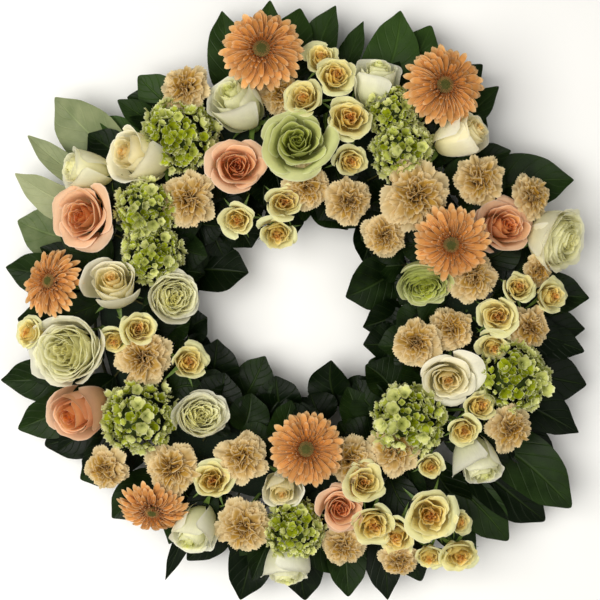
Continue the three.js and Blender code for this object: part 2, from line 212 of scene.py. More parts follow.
def heads_of(node):
    """The heads of a flower node, found by the tip of each crown: an even fan of many faces."""
    reach, height, corners = CROWNS[node.split("_")[0]]
    bm = bmesh.new()
    bm.from_mesh(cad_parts[node].data)
    bmesh.ops.remove_doubles(bm, verts=bm.verts, dist=1e-6)
    bmesh.ops.triangulate(bm, faces=bm.faces)
    bm.normal_update()
    heads = []
    for vertex in bm.verts:
        spokes = [edge.calc_length() for edge in vertex.link_edges]
        even_fan = len(spokes) >= corners and max(spokes) <= UNEVEN * min(spokes)
        if not even_fan or vertex.normal.z < LEAST_UPWARD:
            continue
        radius = max(spokes) / reach
        facing = np.array(vertex.normal)
        heads.append(Head(np.array(vertex.co) - facing * height * radius, facing, radius))
    bm.free()
    return heads


# The reach of the innermost head from the ring's centre, and how much further the outermost one stands.
HEAD_REACH = 0.08
HEAD_SPAN = 0.19
FOOT_INSET = 0.012  # how far inside the foam's sides a stem enters it
FOOT_DEPTH = 0.006
NECK = 0.014  # length of stem that stays in line with the flower it carries
STEM_STEPS = 9

# Where each kind's stem meets its head, in head radii from the head's centre, and the stem's radius.
STEMS = {
    "rose": (-1.0, 0.0027),
    "spray": (-1.0, 0.0018),
    "carnation": (-1.1, 0.0019),
    "gerbera": (-0.25, 0.0025),
    "snowball": (-0.5, 0.0024),
}


def foot_of(heads):
    """Where a stem enters the foam, drawn in from the flowers to the foam's width."""
    middle = np.mean([head.centre for head in heads], axis=0) - np.array(RING_CENTRE)
    reach = math.hypot(middle[0], middle[1])
    share = np.clip((reach - HEAD_REACH) / HEAD_SPAN, 0, 1)
    drawn_in = mix(RING_INNER + FOOT_INSET, RING_OUTER - FOOT_INSET, share) / reach
    height = FOAM_TOP - FOOT_DEPTH
    return np.array(RING_CENTRE) * (1, 1, 0) + middle * (drawn_in, drawn_in, 0) + (0, 0, height)


def add_stems(growth, heads, kind):
    """A stem from the foam to the hip of each head, bent to come in along the way it faces."""
    hip, radius = STEMS[kind]
    growth.in_world()
    foot = foot_of(heads)
    for head in heads:
        top = head.centre + head.facing * hip * head.radius
        neck = top - head.facing * NECK
        if neck[2] < foot[2]:
            neck[2] = mix(top[2], foot[2], 0.5)
        steps = np.linspace(0, 1, STEM_STEPS)[:, None]
        path = (1 - steps) ** 2 * foot + 2 * steps * (1 - steps) * neck + steps ** 2 * top
        growth.tube(path, np.full(STEM_STEPS, radius), sides=6)


# ---- Materials ----

class Shader:
    """A node material in the making, with short names for the nodes that it uses."""

    def __init__(self, name, roughness, specular, sheen=0.0):
        self.material = bpy.data.materials.new(name)
        self.material.use_nodes = True
        self.tree = self.material.node_tree
        self.surface = self.tree.nodes["Principled BSDF"]
        self.surface.inputs["Roughness"].default_value = roughness
        self.surface.inputs["Specular IOR Level"].default_value = specular
        self.surface.inputs["Sheen Weight"].default_value = sheen

    def node(self, kind, **settings):
        made = self.tree.nodes.new(kind)
        for key, value in settings.items():
            setattr(made, key, value)
        return made

    def link(self, source, target):
        """Joins another node's socket to the target, or sets the target to a plain value."""
        if isinstance(source, (int, float, list, tuple)):
            target.default_value = source
        else:
            self.tree.links.new(source, target)

    def sheet(self):
        """The place on the sheet: (across, along)."""
        split = self.node("ShaderNodeSeparateXYZ")
        self.link(self.node("ShaderNodeUVMap", uv_map="sheet").outputs[0], split.inputs[0])
        return split.outputs[0], split.outputs[1]

    def attribute(self, name):
        return self.node("ShaderNodeAttribute", attribute_name=name).outputs["Fac"]

    def math(self, operation, a, b=0.0):
        made = self.node("ShaderNodeMath", operation=operation)
        self.link(a, made.inputs[0])
        self.link(b, made.inputs[1])
        return made.outputs[0]

    def fit(self, value, low, high, new_low=0.0, new_high=1.0):
        """A value stretched from one range to another and held inside it."""
        made = self.node("ShaderNodeMapRange")
        for socket, source in zip(made.inputs, (value, low, high, new_low, new_high)):
            self.link(source, socket)
        return made.outputs[0]

    def noise(self, scale, detail=3.0, vector=None):
        """Noise through space, or along a vector of its own."""
        made = self.node("ShaderNodeTexNoise")
        made.inputs["Scale"].default_value = scale
        made.inputs["Detail"].default_value = detail
        place = vector or self.node("ShaderNodeTexCoord").outputs["Object"]
        self.link(place, made.inputs["Vector"])
        return made.outputs["Fac"]

    def stretched(self, across, along, times_across, times_along):
        """A vector for patterns that run along the sheet."""
        joined = self.node("ShaderNodeCombineXYZ")
        self.link(self.math("MULTIPLY", across, times_across), joined.inputs[0])
        self.link(self.math("MULTIPLY", along, times_along), joined.inputs[1])
        self.link(self.math("MULTIPLY", self.attribute("tone"), 20.0), joined.inputs[2])
        return joined.outputs[0]

    def ramp(self, value, *stops):
        """Colours along a value; each stop is (position, colour)."""
        made = self.node("ShaderNodeValToRGB")
        elements = made.color_ramp.elements
        while len(elements) < len(stops):
            elements.new(0.5)
        for element, (position, colour) in zip(elements, stops):
            element.position = position
            element.color = linear(colour)
        self.link(value, made.inputs[0])
        return made.outputs[0]

    def blend(self, factor, a, b):
        """Mixes two colours, each a socket or a hex code."""
        made = self.node("ShaderNodeMix", data_type="RGBA")
        self.link(factor, made.inputs["Factor"])
        # Sockets 6 and 7 are the node's two colours.
        for socket, source in ((made.inputs[6], a), (made.inputs[7], b)):
            self.link(linear(source) if isinstance(source, str) else source, socket)
        return made.outputs[2]

    def brightness(self, colour, value):
        made = self.node("ShaderNodeHueSaturation")
        self.link(value, made.inputs["Value"])
        self.link(colour, made.inputs["Color"])
        return made.outputs[0]

    def bump(self, height, strength, distance):
        made = self.node("ShaderNodeBump")
        made.inputs["Strength"].default_value = strength
        made.inputs["Distance"].default_value = distance
        self.link(height, made.inputs["Height"])
        self.link(made.outputs[0], self.surface.inputs["Normal"])

    def finish(self, colour, translucent=0.0):
        """Colours the surface, and lets some light through a thin petal or leaf."""
        self.link(colour, self.surface.inputs["Base Color"])
        if translucent:
            through = self.node("ShaderNodeBsdfTranslucent")
            self.link(colour, through.inputs["Color"])
            both = self.node("ShaderNodeMixShader")
            both.inputs[0].default_value = translucent
            self.link(self.surface.outputs[0], both.inputs[1])
            self.link(through.outputs[0], both.inputs[2])
            self.link(both.outputs[0], self.tree.nodes["Material Output"].inputs["Surface"])
        return self.material


def petal(name, heart, body, outside, base, rim, translucent=0.38, veins=26.0, variation=0.10,
          rim_from=0.90, rim_share=0.6):
    """A petal that changes from the flower's heart outwards, and from its base to its rim.

    Veins are counted across the petal, variation is how much brightness differs from petal to petal,
    rim_from is where along the petal the paler rim begins and rim_share is how strong that rim is. The
    rim is partly the petal's own paler edge and partly a painted highlight.
    """
    shader = Shader(name, 0.55, specular=0.16, sheen=0.04)
    across, along = shader.sheet()
    ring = shader.attribute("ring")
    # The heart colour of the innermost petals and the base colour over the lower half of each petal are
    # the flower's own deeper colours, deepened further as painted shade in its depths.
    colour = shader.ramp(ring, (0.0, heart), (0.45, body), (1.0, outside))
    base_and_shade = shader.fit(along, 0.0, 0.5, 0.85, 0.0)
    colour = shader.blend(base_and_shade, colour, base)

    # Paler rim along the sides and the tip of each petal: partly the petal's own paler edge, partly a
    # painted highlight where the edges catch the light.
    from_middle = shader.math("ABSOLUTE", shader.math("SUBTRACT", across, 0.5))
    near_side = shader.fit(from_middle, 0.44, 0.5)
    near_tip = shader.fit(along, rim_from, 1.0)
    rim_and_highlight = shader.math("MULTIPLY", shader.math("MAXIMUM", near_side, near_tip), rim_share)
    colour = shader.blend(rim_and_highlight, colour, rim)

    mottle = shader.noise(140.0)
    mottling = shader.math("MULTIPLY", mottle, 0.14)
    tone = shader.fit(shader.attribute("tone"), 0.0, 1.0, 0.93 - variation, 0.93 + variation)
    colour = shader.brightness(colour, shader.math("ADD", mottling, tone))

    streaks = shader.noise(1.0, 2.0, shader.stretched(across, along, veins, 2.2))
    shader.bump(shader.math("ADD", streaks, shader.math("MULTIPLY", mottle, 0.5)), 0.35, 0.0009)
    shader.link(shader.fit(streaks, 0.3, 0.7, 0.48, 0.66), shader.surface.inputs["Roughness"])
    return shader.finish(colour, translucent)


def foliage(name, dark, green, pale, vein, gloss, translucent):
    """A leathery leaf: a pale midrib, side veins that run forward from it, and glossy skin between."""
    shader = Shader(name, gloss, specular=0.13)
    across, along = shader.sheet()
    from_middle = shader.math("ABSOLUTE", shader.math("SUBTRACT", across, 0.5))
    forward = shader.math("SUBTRACT", along, shader.math("MULTIPLY", from_middle, 0.55))
    wave = shader.math("PINGPONG", shader.math("MULTIPLY", forward, 8.0), 0.5)
    side_veins = shader.fit(wave, 0.0, 0.09, 1.0, 0.0)
    midrib = shader.fit(from_middle, 0.006, 0.034, 1.0, 0.0)
    veins = shader.math("MAXIMUM", midrib, shader.math("MULTIPLY", side_veins, 0.45))

    patches = shader.noise(55.0, 4.0)
    tone = shader.attribute("tone")
    patchy = shader.math("MULTIPLY", patches, 0.28)
    share = shader.math("ADD", patchy, shader.math("MULTIPLY", tone, 0.78))
    # The pale grey-green end of the ramp is painted light, reached by the leaves in the lit stretch
    # round the ring.
    colour = shader.ramp(share, (0.2, dark), (0.6, green), (1.0, pale))
    colour = shader.blend(shader.math("MULTIPLY", veins, 0.08), colour, vein)
    colour = shader.brightness(colour, shader.fit(veins, 0.0, 1.0, 1.0, 1.3))

    grain = shader.noise(700.0, 2.0)
    relief = shader.math("SUBTRACT", shader.math("MULTIPLY", grain, 0.25), veins)
    shader.bump(relief, 0.6, 0.0012)
    roughness = shader.fit(patches, 0.3, 0.7, gloss - 0.07, gloss + 0.12)
    shader.link(roughness, shader.surface.inputs["Roughness"])
    return shader.finish(colour, translucent)


def speckled(name, dark, light, roughness, scale, depth):
    """A plain surface with fine grain, for foam, stems, flower centres and the tray."""
    shader = Shader(name, roughness, specular=0.3)
    grain = shader.noise(scale, 4.0)
    broad = shader.noise(scale / 12, 2.0)
    share = shader.math("ADD", shader.math("MULTIPLY", grain, 0.6), shader.math("MULTIPLY", broad, 0.4))
    colour = shader.ramp(share, (0.3, dark), (0.7, light))
    shader.bump(grain, 0.6, depth)
    uneven = shader.fit(broad, 0.3, 0.7, roughness - 0.08, roughness + 0.08)
    shader.link(uneven, shader.surface.inputs["Roughness"])
    return shader.finish(colour)


# Each kind's colours: at its heart, further out, outermost, at the base of each petal and on its rim.
# The rim colour is partly a painted highlight.
# The heart and base colours hold painted shade as well as each flower's own deeper colour.
PETALS = {
    "cream": petal("petal_cream", "#F4CE70", "#F8EDB9", "#FCF9E5", "#E8DD83", "#FEFCF2"),
    "white": petal("petal_white", "#E0E284", "#F1F0C0", "#FAF9EB", "#D2D675", "#FEFDF4"),
    "green": petal("petal_green", "#B5BC2B", "#C5CC5E", "#DDE2A0", "#919800", "#F6F6D8"),
    "ivory": petal("petal_ivory", "#F4F0B4", "#F7F5CC", "#F9F7E3", "#F0EAA5", "#FDFDF2",
                   translucent=0.48, rim_share=0.35),
    "peach": petal("petal_peach", "#E27D18", "#F0B06D", "#F8D0AD", "#E6AD51", "#FEEEDC"),
    "yellow": petal("petal_yellow", "#F0B648", "#F3DC7E", "#F0EFB8", "#E2C244", "#FBF9DE"),
    "buff": petal("petal_buff", "#B08228", "#C59C44", "#E4CA92", "#966820", "#FCEFC8",
                  veins=16.0, rim_from=0.82),
    "apricot": petal("petal_apricot", "#9A5212", "#C67D34", "#E3A55F", "#92480A", "#FCE8BA",
                     translucent=0.3, veins=9.0, variation=0.18, rim_from=0.62, rim_share=0.75),
    "lime": petal("petal_lime", "#919C00", "#B3BE1C", "#E4E698", "#697500", "#F6F6D0",
                  translucent=0.4, veins=8.0, variation=0.18, rim_from=0.78, rim_share=0.85),
}
LEAF_SKIN = foliage("leaf_skin", "#081404", "#344E1C", "#9EA47C", "#5E7438",
                    gloss=0.42, translucent=0.12)
STEM_SKIN = speckled("stem_skin", "#3E5A24", "#6C8238", 0.5, 420.0, 0.0003)
BRANCH_BARK = speckled("branch_bark", "#332B18", "#4E5228", 0.6, 500.0, 0.0004)
DISC_GREEN = speckled("disc_green", "#4A4C20", "#6E6C30", 0.7, 900.0, 0.0004)
DISC_RIM = speckled("disc_rim", "#7A4E26", "#C8955A", 0.65, 900.0, 0.0004)
# The snowball core stands for its stalks, and its dark green is painted shade for the depths of the
# ball.
SNOWBALL_CORE = speckled("snowball_core", "#28360F", "#4A5A1E", 0.8, 500.0, 0.0008)
FOAM_SKIN = speckled("foam_skin", "#0D170E", "#1B2B1B", 0.9, 800.0, 0.0006)
TRAY_PLASTIC = speckled("tray_plastic", "#142019", "#1F3026", 0.42, 1400.0, 0.00005)


# ---- Roses ----

# A kind of rose, in head radii unless it says otherwise: how many petals, how far they reach, how much
# they crowd towards the heart, the heights of the heart and of the outermost folds, how deep the outer
# petals begin, how widely they flare, how long their rolled lips are, how crumpled the rims are outside
# and at the heart, and how long the green sepals are.
RoseStyle = namedtuple(
    "RoseStyle", "petals reach crowding crown skirt depth flare lip ruffle crumple sepals")
OPEN_ROSE = RoseStyle(26, 0.93, 1.5, 0.40, 0.06, 0.95, 0.66, 0.24, 1.6, 0.5, 0.62)
GARDEN_ROSE = RoseStyle(50, 0.96, 0.88, 0.44, 0.10, 0.95, 0.34, 0.20, 1.6, 1.5, 0.62)
BUD_ROSE = RoseStyle(20, 0.90, 1.4, 0.60, 0.22, 1.35, 0.24, 0.20, 0.8, 0.4, 0.75)
SPRAY_STYLE = RoseStyle(23, 0.90, 1.35, 0.42, 0.10, 0.90, 0.60, 0.24, 2.1, 1.4, 1.2)
FOLD = 0.72  # how far along a petal its lip begins
HIP_RADIUS = 0.24
SEPALS = 5


def petal_wall(style, ring, v, rng):
    """Radius and height of a petal from the flower's hip up to its fold.

    Also gives the height of its base and the slope, as an angle, with which it reaches the fold.
    """
    fold = style.reach * (0.05 + 0.95 * ring ** style.crowding) * rng.uniform(0.93, 1.05)
    top = mix(style.crown, style.skirt, ring ** 1.7) + rng.normal(0, 0.03)
    base = mix(top - 0.55, -style.depth, ring ** 0.8)
    flare = style.flare * smoothstep(0.35, 1.0, ring)
    belly = mix(1.18 * fold + 0.02, mix(1.15, 0.66, style.flare) * fold, ring)
    shoulder = (mix(1.10, 0.66, flare) * fold, top + mix(-0.22, 0.02, flare))
    curve = [(0.03, base), (belly, mix(base, top, 0.1)), shoulder, (fold, top)]
    radius, height = bezier(curve, np.clip(v / FOLD, 0, 1))
    rising = math.atan2(top - shoulder[1], fold - shoulder[0])
    return radius, height, base, rising


def petal_lip(style, ring, v, edge, rising, rng):
    """How far the lip goes out and up from the fold: it leaves at the wall's slope and rolls back."""
    turn = mix(0.4 + 0.45 * style.crumple, 1.7, ring ** 0.8)
    curl = turn * (0.5 + 0.8 * edge ** 1.5) * rng.uniform(0.5, 1.5)
    length = style.lip * mix(0.08 + 0.3 * style.crumple, 1.0, ring) * rng.uniform(0.75, 1.3)
    rolled = np.clip((v - FOLD) / (1 - FOLD), 0, 1)
    out = length / curl * (math.sin(rising) - np.sin(rising - curl * rolled))
    up = length / curl * (np.cos(rising - curl * rolled) - math.cos(rising))
    return out, up


def ruffled(style, ring, v, across, radius, height, rng):
    """Radius and height with waves along the rim, and with crumples near the heart."""
    waves = np.sin(across * rng.uniform(2.5, 4.5) + rng.uniform(0, 6.3))
    frill = np.sin(across * rng.uniform(7, 10) + rng.uniform(0, 6.3))
    ruffle = style.ruffle * smoothstep(0.4, 1.0, v) * mix(0.2, 1.0, ring)
    crumple = style.crumple * smoothstep(0.2, 0.8, v) * (1 - ring ** 2)
    radius = radius * (1 + mix(0.30, 0.09, ring) * across * v)  # one side overlaps the next petal
    radius = radius + ruffle * (0.030 * waves + 0.012 * frill)
    radius = radius + crumple * (0.055 * waves + 0.015 * frill)
    height = height + ruffle * (0.035 * np.roll(waves, 2, axis=1) + 0.022 * frill)
    return radius, height


def wrapped(ring, v, across, radius, height):
    """The petal bent round the axis: half round it at the heart, flatter than its circle outside."""
    spread = mix(1.75, 1.08, ring ** 0.7) * (0.45 + 0.55 * np.sin(np.pi / 2 * np.clip(v * 1.3, 0, 1)))
    flatness = mix(1.0, 1.35, ring)
    angle = across * spread / flatness
    bend = radius * flatness
    return np.stack([radius + bend * (np.cos(angle) - 1), bend * np.sin(angle), height + 0 * angle], -1)


def rose_petal(style, ring, body_rows, lip_rows, columns, rng):
    """A petal that is upright and wound up at the heart, flared and rolled back outside."""
    below_fold = np.linspace(0, FOLD, body_rows)
    beyond_fold = np.linspace(FOLD, 1, lip_rows)[1:]
    along = np.concatenate([below_fold, beyond_fold])[:, None]
    across = np.linspace(-1, 1, columns)[None, :]
    edge = np.abs(across)
    v = along * (1 - 0.06 * edge - 0.32 * edge ** 4)  # the tip is cut round
    radius, height, base, rising = petal_wall(style, ring, v, rng)
    out, up = petal_lip(style, ring, v, edge, rising, rng)
    radius, height = ruffled(style, ring, v, across, radius + out, height + up, rng)
    leaning = rng.normal(0.0, 0.055) * ring * v * (height - base) / style.depth
    return wrapped(ring, v, across, radius + leaning, height)


def add_rose(growth, head, style, rng, body_rows=7, lip_rows=6, columns=13):
    """Petals in a spiral from the heart outwards, over a green hip."""
    growth.stand(head.centre, head.facing, head.radius)
    start = rng.uniform(0, 2 * math.pi)
    squeezed = np.array([1, rng.uniform(0.84, 1.0), 1])
    for index in range(style.petals):
        ring = index / (style.petals - 1)
        turn = start + index * GOLDEN_ANGLE + rng.normal(0, 0.10)
        grid = rose_petal(style, ring, body_rows, lip_rows, columns, rng)
        growth.sheet(turned(grid, turn) * squeezed, ring, rng.random())
    add_calyx(growth, style.depth, style.sepals, rng)


def add_calyx(growth, depth, length, rng):
    """The green hip under a flower, and the sepals that spread from it."""
    steps = np.linspace(0, 1, 6)
    swell = HIP_RADIUS * np.sin(np.pi * np.clip(steps * 0.85 + 0.1, 0, 1)) ** 0.8
    growth.tube([(0, 0, -depth - 0.15 + 0.28 * s) for s in steps], swell, sides=8)
    along = np.linspace(0, 1, 6)[:, None]
    across = np.linspace(-1, 1, 3)[None, :]
    for sepal in range(SEPALS):
        drop = rng.uniform(0.0, 0.35)
        reach = HIP_RADIUS * 0.8 + length * along
        height = -depth + 0.12 - drop * along ** 1.5 + 0.25 * along * (1 - along) + 0.03 * across ** 2
        width = 0.13 * (1 - along) ** 0.8
        grid = np.stack([reach + 0 * across, across * width, height], -1)
        turn = sepal * 2 * math.pi / SEPALS + rng.normal(0, 0.1)
        growth.sheet(turned(grid, turn), tone=rng.random(), material=STALK)


# ---- Carnations ----

CARNATION_PETALS = 52
CARNATION_REACH = 1.18  # of the outermost petals, in head radii


def carnation_petal(ring, rng, rows=6, columns=19):
    """A fan with a toothed rim: crumpled and turned aside at the heart, flat and broad outside."""
    along = np.linspace(0, 1, rows)[:, None] ** 0.85
    across = np.linspace(-1, 1, columns)[None, :]
    teeth = rng.uniform(0.01, 0.06, columns) * (np.arange(columns) % 2)
    v = along * (1 - 0.18 * across ** 2 - teeth[None, :] * along ** 3)
    out = mix(0.12, CARNATION_REACH, ring ** 0.9) * rng.uniform(0.82, 1.08)
    top = mix(0.44, -0.06, ring ** 2.5) + rng.normal(0, 0.07) * (1 - ring)
    radius, height = bezier([(0.03, -0.55), (0.10, 0.05), (0.55 * out, top + 0.14), (out, top)], v)
    pleats = np.sin(across * rng.uniform(3.0, 6.0) + rng.uniform(0, 6.3))
    crimps = np.sin(across * rng.uniform(8, 12) + rng.uniform(0, 6.3))
    folded = smoothstep(0.2, 1.0, v)
    radius = radius + folded * (mix(0.16, 0.02, ring) * pleats + mix(0.03, 0.0, ring) * crimps)
    height = height + folded * (0.06 * np.roll(pleats, 3, axis=1) + 0.022 * crimps)
    lateral = across * mix(0.30, 0.52, ring) * v ** 0.75
    twist = rng.normal(0, mix(1.3, 0.10, ring)) * v
    return np.stack([radius + lateral * np.sin(twist), lateral * np.cos(twist), height], -1)


def add_carnation(growth, head, rng):
    """Petals in a spiral over a slim green calyx."""
    growth.stand(head.centre, head.facing, head.radius)
    for index in range(CARNATION_PETALS):
        ring = index / (CARNATION_PETALS - 1)
        turn = index * GOLDEN_ANGLE + rng.normal(0, 0.2)
        growth.sheet(turned(carnation_petal(ring, rng), turn), ring, rng.random())
    steps = np.linspace(0, 1, 6)
    swell = 0.2 * (0.35 + 0.65 * steps ** 0.5)
    growth.tube([(0, 0, -1.15 + 0.8 * s) for s in steps], swell, sides=8)


# ---- Gerberas ----

# Rings of ray petals: how many, where they start and end, their half width, and how high the tips stand.
GERBERA_RAYS = (
    (28, 0.20, 1.06, 0.102, -0.05),
    (28, 0.20, 0.96, 0.092, 0.06),
    (24, 0.18, 0.77, 0.072, 0.14),
    (26, 0.18, 0.57, 0.044, 0.15),
    (46, 0.16, 0.40, 0.026, 0.18),
    (42, 0.14, 0.31, 0.020, 0.20),
)
DISC_RADIUS = 0.22
DISC_FLORETS = 150
DISC_FLORET_RADIUS = 0.011
BUTTON_SHARE = 0.55  # how much of the disc's radius is still green buds


def ray_petal(start, end, half_width, lift, rng, rows=9, columns=5):
    """A spoon with a rounded tip, grooved along its middle and raised at its sides."""
    along = np.sin(np.linspace(0, np.pi / 2, rows))[:, None]
    across = np.linspace(-1, 1, columns)[None, :]
    width = half_width * (0.4 + 0.6 * smoothstep(0, 0.6, along)) * (1 - along ** 9) ** 0.5
    reach = (end - start) * rng.uniform(0.90, 1.03)
    radius = start + reach * along * (1 - 0.02 * across ** 2)
    sag = rng.normal(0, 0.07)
    height = lift * np.sin(np.pi / 2 * along) + sag * along ** 2 - 0.07 * along ** 5
    section = across ** 2 + 0.4 * np.cos(2 * np.pi * across)
    spoon = 0.75 * half_width * section * np.sin(np.pi * along ** 0.7)
    swing = rng.normal(0, 0.02) * along
    return np.stack([radius, across * width + swing, height + spoon], -1)


def add_gerbera(growth, head, rng):
    """Rings of rays round a disc, over a shallow green cup."""
    growth.stand(head.centre, head.facing, head.radius)
    for index, (count, start, end, half_width, lift) in enumerate(GERBERA_RAYS):
        ring = 1 - index / (len(GERBERA_RAYS) - 1)
        for ray in range(count):
            turn = (ray + 0.5 * index) * 2 * math.pi / count + rng.normal(0, 0.03)
            grid = ray_petal(start, end, half_width, lift, rng)
            growth.sheet(turned(grid, turn), ring, rng.random())
    add_disc(growth, rng)
    steps = np.linspace(0, 1, 6)
    growth.tube([(0, 0, -0.3 + 0.3 * s) for s in steps], 0.06 + 0.16 * np.sqrt(steps), sides=10)


def ring_round_axis(radius, height, sides, offset=0.0):
    """Points round an upright axis that stands `offset` from the flower's own."""
    turns = np.linspace(0, 2 * math.pi, sides + 1)
    return np.stack([offset + radius * np.cos(turns), radius * np.sin(turns), height + 0 * turns], -1)


def add_disc(growth, rng):
    """The button in the middle, packed with florets in a spiral."""
    for index in range(DISC_FLORETS):
        share = math.sqrt((index + 0.5) / DISC_FLORETS)
        offset = DISC_RADIUS * share
        foot = 0.12 + 0.05 * (1 - share ** 2)
        size = DISC_FLORET_RADIUS * rng.uniform(0.8, 1.2)
        outline = ((size, foot), (size * 0.8, foot + 0.03), (size * 0.1, foot + 0.035))
        grid = np.array([ring_round_axis(radius, height, 5, offset) for radius, height in outline])
        material = HEART_RIM if share > BUTTON_SHARE else HEART
        growth.sheet(turned(grid, index * GOLDEN_ANGLE), tone=rng.random(), material=material)
    dome = [ring_round_axis(radius, 0.11 + 0.04 * (1 - radius / DISC_RADIUS), 16)
            for radius in (0.001, 0.1, DISC_RADIUS)]
    growth.sheet(np.array(dome), material=HEART)


# ---- Snowball heads ----

FLORETS = 165
FLORET_SIZES = (0.08, 0.11, 0.155, 0.215)  # in head radii
FLORET_SHARES = (0.22, 0.30, 0.28, 0.20)  # how many are of each size
COVERED = 1.35  # how far down the ball florets grow from its top, in head radii
LOWEST = 0.72  # how deep in the ball the lowest florets stand, as a share of its radius
SUNK = 0.12  # how far the ball's middle lies below the head's centre, in head radii
CORE_RADIUS = 0.6
CORE_SUNK = 0.2  # in core radii


def floret_petal(rng):
    """A small rounded cup, as wide as it is long."""
    along = np.linspace(0, 1, 5)[:, None]
    across = np.linspace(-1, 1, 4)[None, :]
    width = 0.55 * np.sin(np.pi * np.clip(0.10 + along * 0.80, 0, 1)) ** 0.55
    cup = rng.uniform(0.3, 0.9) * along ** 1.5 + 0.25 * across ** 2 * along
    reach = 0.05 + 0.95 * along * (1 - 0.15 * across ** 2)
    return np.stack([reach, across * width, cup], -1)


def add_snowball(growth, head, rng):
    """A dome of florets, each with four or five petals, over the green stalks that carry them."""
    axes = basis(head.facing)
    for index in range(FLORETS):
        height = 1 - (index + 0.5) / FLORETS * COVERED
        side = math.sqrt(max(0.0, 1 - height * height))
        turn = index * GOLDEN_ANGLE
        outward = np.array([side * math.cos(turn), side * math.sin(turn), height]) @ axes
        lifted = rng.uniform(LOWEST, 1.0)
        place = head.centre + outward * head.radius * lifted - head.facing * head.radius * SUNK
        size = rng.choice(FLORET_SIZES, p=FLORET_SHARES) * rng.uniform(0.9, 1.1)
        growth.stand(place, outward + rng.normal(0, 0.4, 3), head.radius * size)
        petals = 5 if rng.random() < 0.7 else 4
        tone = rng.random()
        for petal_index in range(petals):
            grid = turned(floret_petal(rng), petal_index * 2 * math.pi / petals)
            # A floret's colour follows how high it sits: florets sunk deeper into the ball take the
            # darker heart colour, as painted shade between the florets.
            growth.sheet(grid, (lifted - LOWEST) / (1 - LOWEST), tone)
    add_core(growth, head)


def add_core(growth, head):
    """The ball of stalks that shows between the florets, coloured dark as painted shade in the depths of
    the ball.
    """
    growth.stand(head.centre, head.facing, head.radius)
    polar = np.linspace(0.02, math.pi - 0.02, 9)[:, None]
    around = np.linspace(0, 2 * math.pi, 17)[None, :]
    x = np.sin(polar) * np.cos(around)
    y = np.sin(polar) * np.sin(around)
    z = np.cos(polar) - CORE_SUNK + 0 * around
    core = CORE_RADIUS * np.stack([x, y, z], -1)
    growth.sheet(core[::-1], material=HEART)


# ---- Leaves ----

# The branches of leaves as the solids have them, in millimetres from the ring's centre. A leaf is
# [angle round the ring where it leaves its branch, in degrees, tip x, tip y, tip height, width].
BRANCHES = {
    "salal_top_right": [
        [6, 307, 10, 34, 44], [32, 290, 132, 40, 54], [40, 222, 160, 62, 30], [49, 212, 228, 44, 34],
        [55, 196, 252, 36, 44], [63, 143, 293, 32, 48], [70, 111, 307, 40, 52], [78, 73, 298, 30, 26],
        [85, 44, 313, 36, 40]],
    "salal_top_left": [
        [92, 7, 311, 32, 44], [98, -24, 318, 38, 32], [106, -74, 308, 34, 40], [116, -160, 239, 42, 40],
        [124, -180, 213, 52, 24], [132, -201, 196, 44, 26], [140, -247, 218, 36, 54],
        [147, -273, 177, 48, 24], [153, -288, 139, 38, 36]],
    "salal_bottom_left": [
        [162, -286, 90, 34, 48], [172, -297, 42, 40, 44], [183, -286, -12, 34, 40],
        [193, -303, -75, 36, 50], [203, -284, -125, 42, 44], [211, -258, -143, 32, 44],
        [221, -220, -177, 40, 44], [231, -188, -218, 34, 40], [243, -132, -281, 42, 18],
        [252, -110, -262, 34, 36]],
    "salal_bottom": [
        [262, -55, -303, 34, 42], [269, -42, -280, 50, 34], [275, 12, -303, 36, 44],
        [283, 57, -298, 42, 38], [290, 98, -303, 34, 38], [297, 132, -282, 42, 40]],
    "salal_bottom_right": [
        [306, 190, -258, 34, 44], [311, 222, -240, 42, 42], [319, 262, -222, 28, 50],
        [326, 286, -205, 48, 52], [332, 272, -168, 32, 44], [338, 295, -129, 40, 48],
        [344, 304, -80, 34, 50], [352, 300, -45, 44, 34], [358, 303, -22, 32, 42]],
    "salal_inner_right": [
        [79, 56, 80, 46, 44], [54, 72, 48, 38, 36], [22, 54, 11, 46, 50], [2, 72, -20, 36, 38],
        [-14, 72, -38, 46, 36], [-30, 76, -74, 38, 40], [-66, 39, -54, 46, 42]],
    "salal_inner_left": [
        [94, 2, 74, 40, 38], [124, -43, 62, 38, 42], [162, -46, 36, 46, 50], [194, -89, -10, 36, 36],
        [226, -78, -32, 46, 46], [242, -29, -50, 38, 38], [265, -18, -70, 46, 42]],
}
# Where round the ring leaves are painted a paler grey-green, as painted light on the side where the
# light falls, and where they are a fresher green, in degrees: the middle of the stretch and its half
# width.
PAINTED_LIGHT_ARC = (150, 17)
FRESH_GREEN = (92, 38)
BRANCH_HEIGHT = 0.020
BRANCH_REACH = {"inner": 0.126, "outer": 0.208}
BRANCH_RADIUS = 0.0018
PETIOLE = 0.014
PETIOLE_RADIUS = 0.0011
PETIOLE_OVERLAP = 0.004  # how far it runs on under the blade
LEAF_BREADTH = 1.15  # a living blade against the solid that stands for it
LEAF_ROWS = 20
LEAF_COLUMNS = 9


def on_ring(degrees, reach, height):
    """The point at an angle and a reach from the ring's centre."""
    turn = math.radians(degrees)
    x = RING_CENTRE.x + reach * math.cos(turn)
    y = RING_CENTRE.y + reach * math.sin(turn)
    return np.array([x, y, height])


def leaf_tone(degrees, rng):
    """About 0 for the darkest leaf, 0.5 for a fresh green one and 1 for a pale grey-green one whose
    paleness is painted light.
    """
    painted_light, freshness = [math.exp(-((degrees - middle) / half_width) ** 2)
                           for middle, half_width in (PAINTED_LIGHT_ARC, FRESH_GREEN)]
    # Leaves in the lit stretch are raised towards the pale end: painted light.
    return rng.uniform(0.0, 0.25) + max(0.95 * painted_light, 0.32 * freshness)


def rolled_axes(direction, roll):
    """Two directions across a leaf, its side and its upper face, turned by its roll."""
    level_side = unit(np.cross(direction, (0, 0, 1)))
    level_up = np.cross(level_side, direction)
    side = math.cos(roll) * level_side + math.sin(roll) * level_up
    up = math.cos(roll) * level_up - math.sin(roll) * level_side
    return side, up


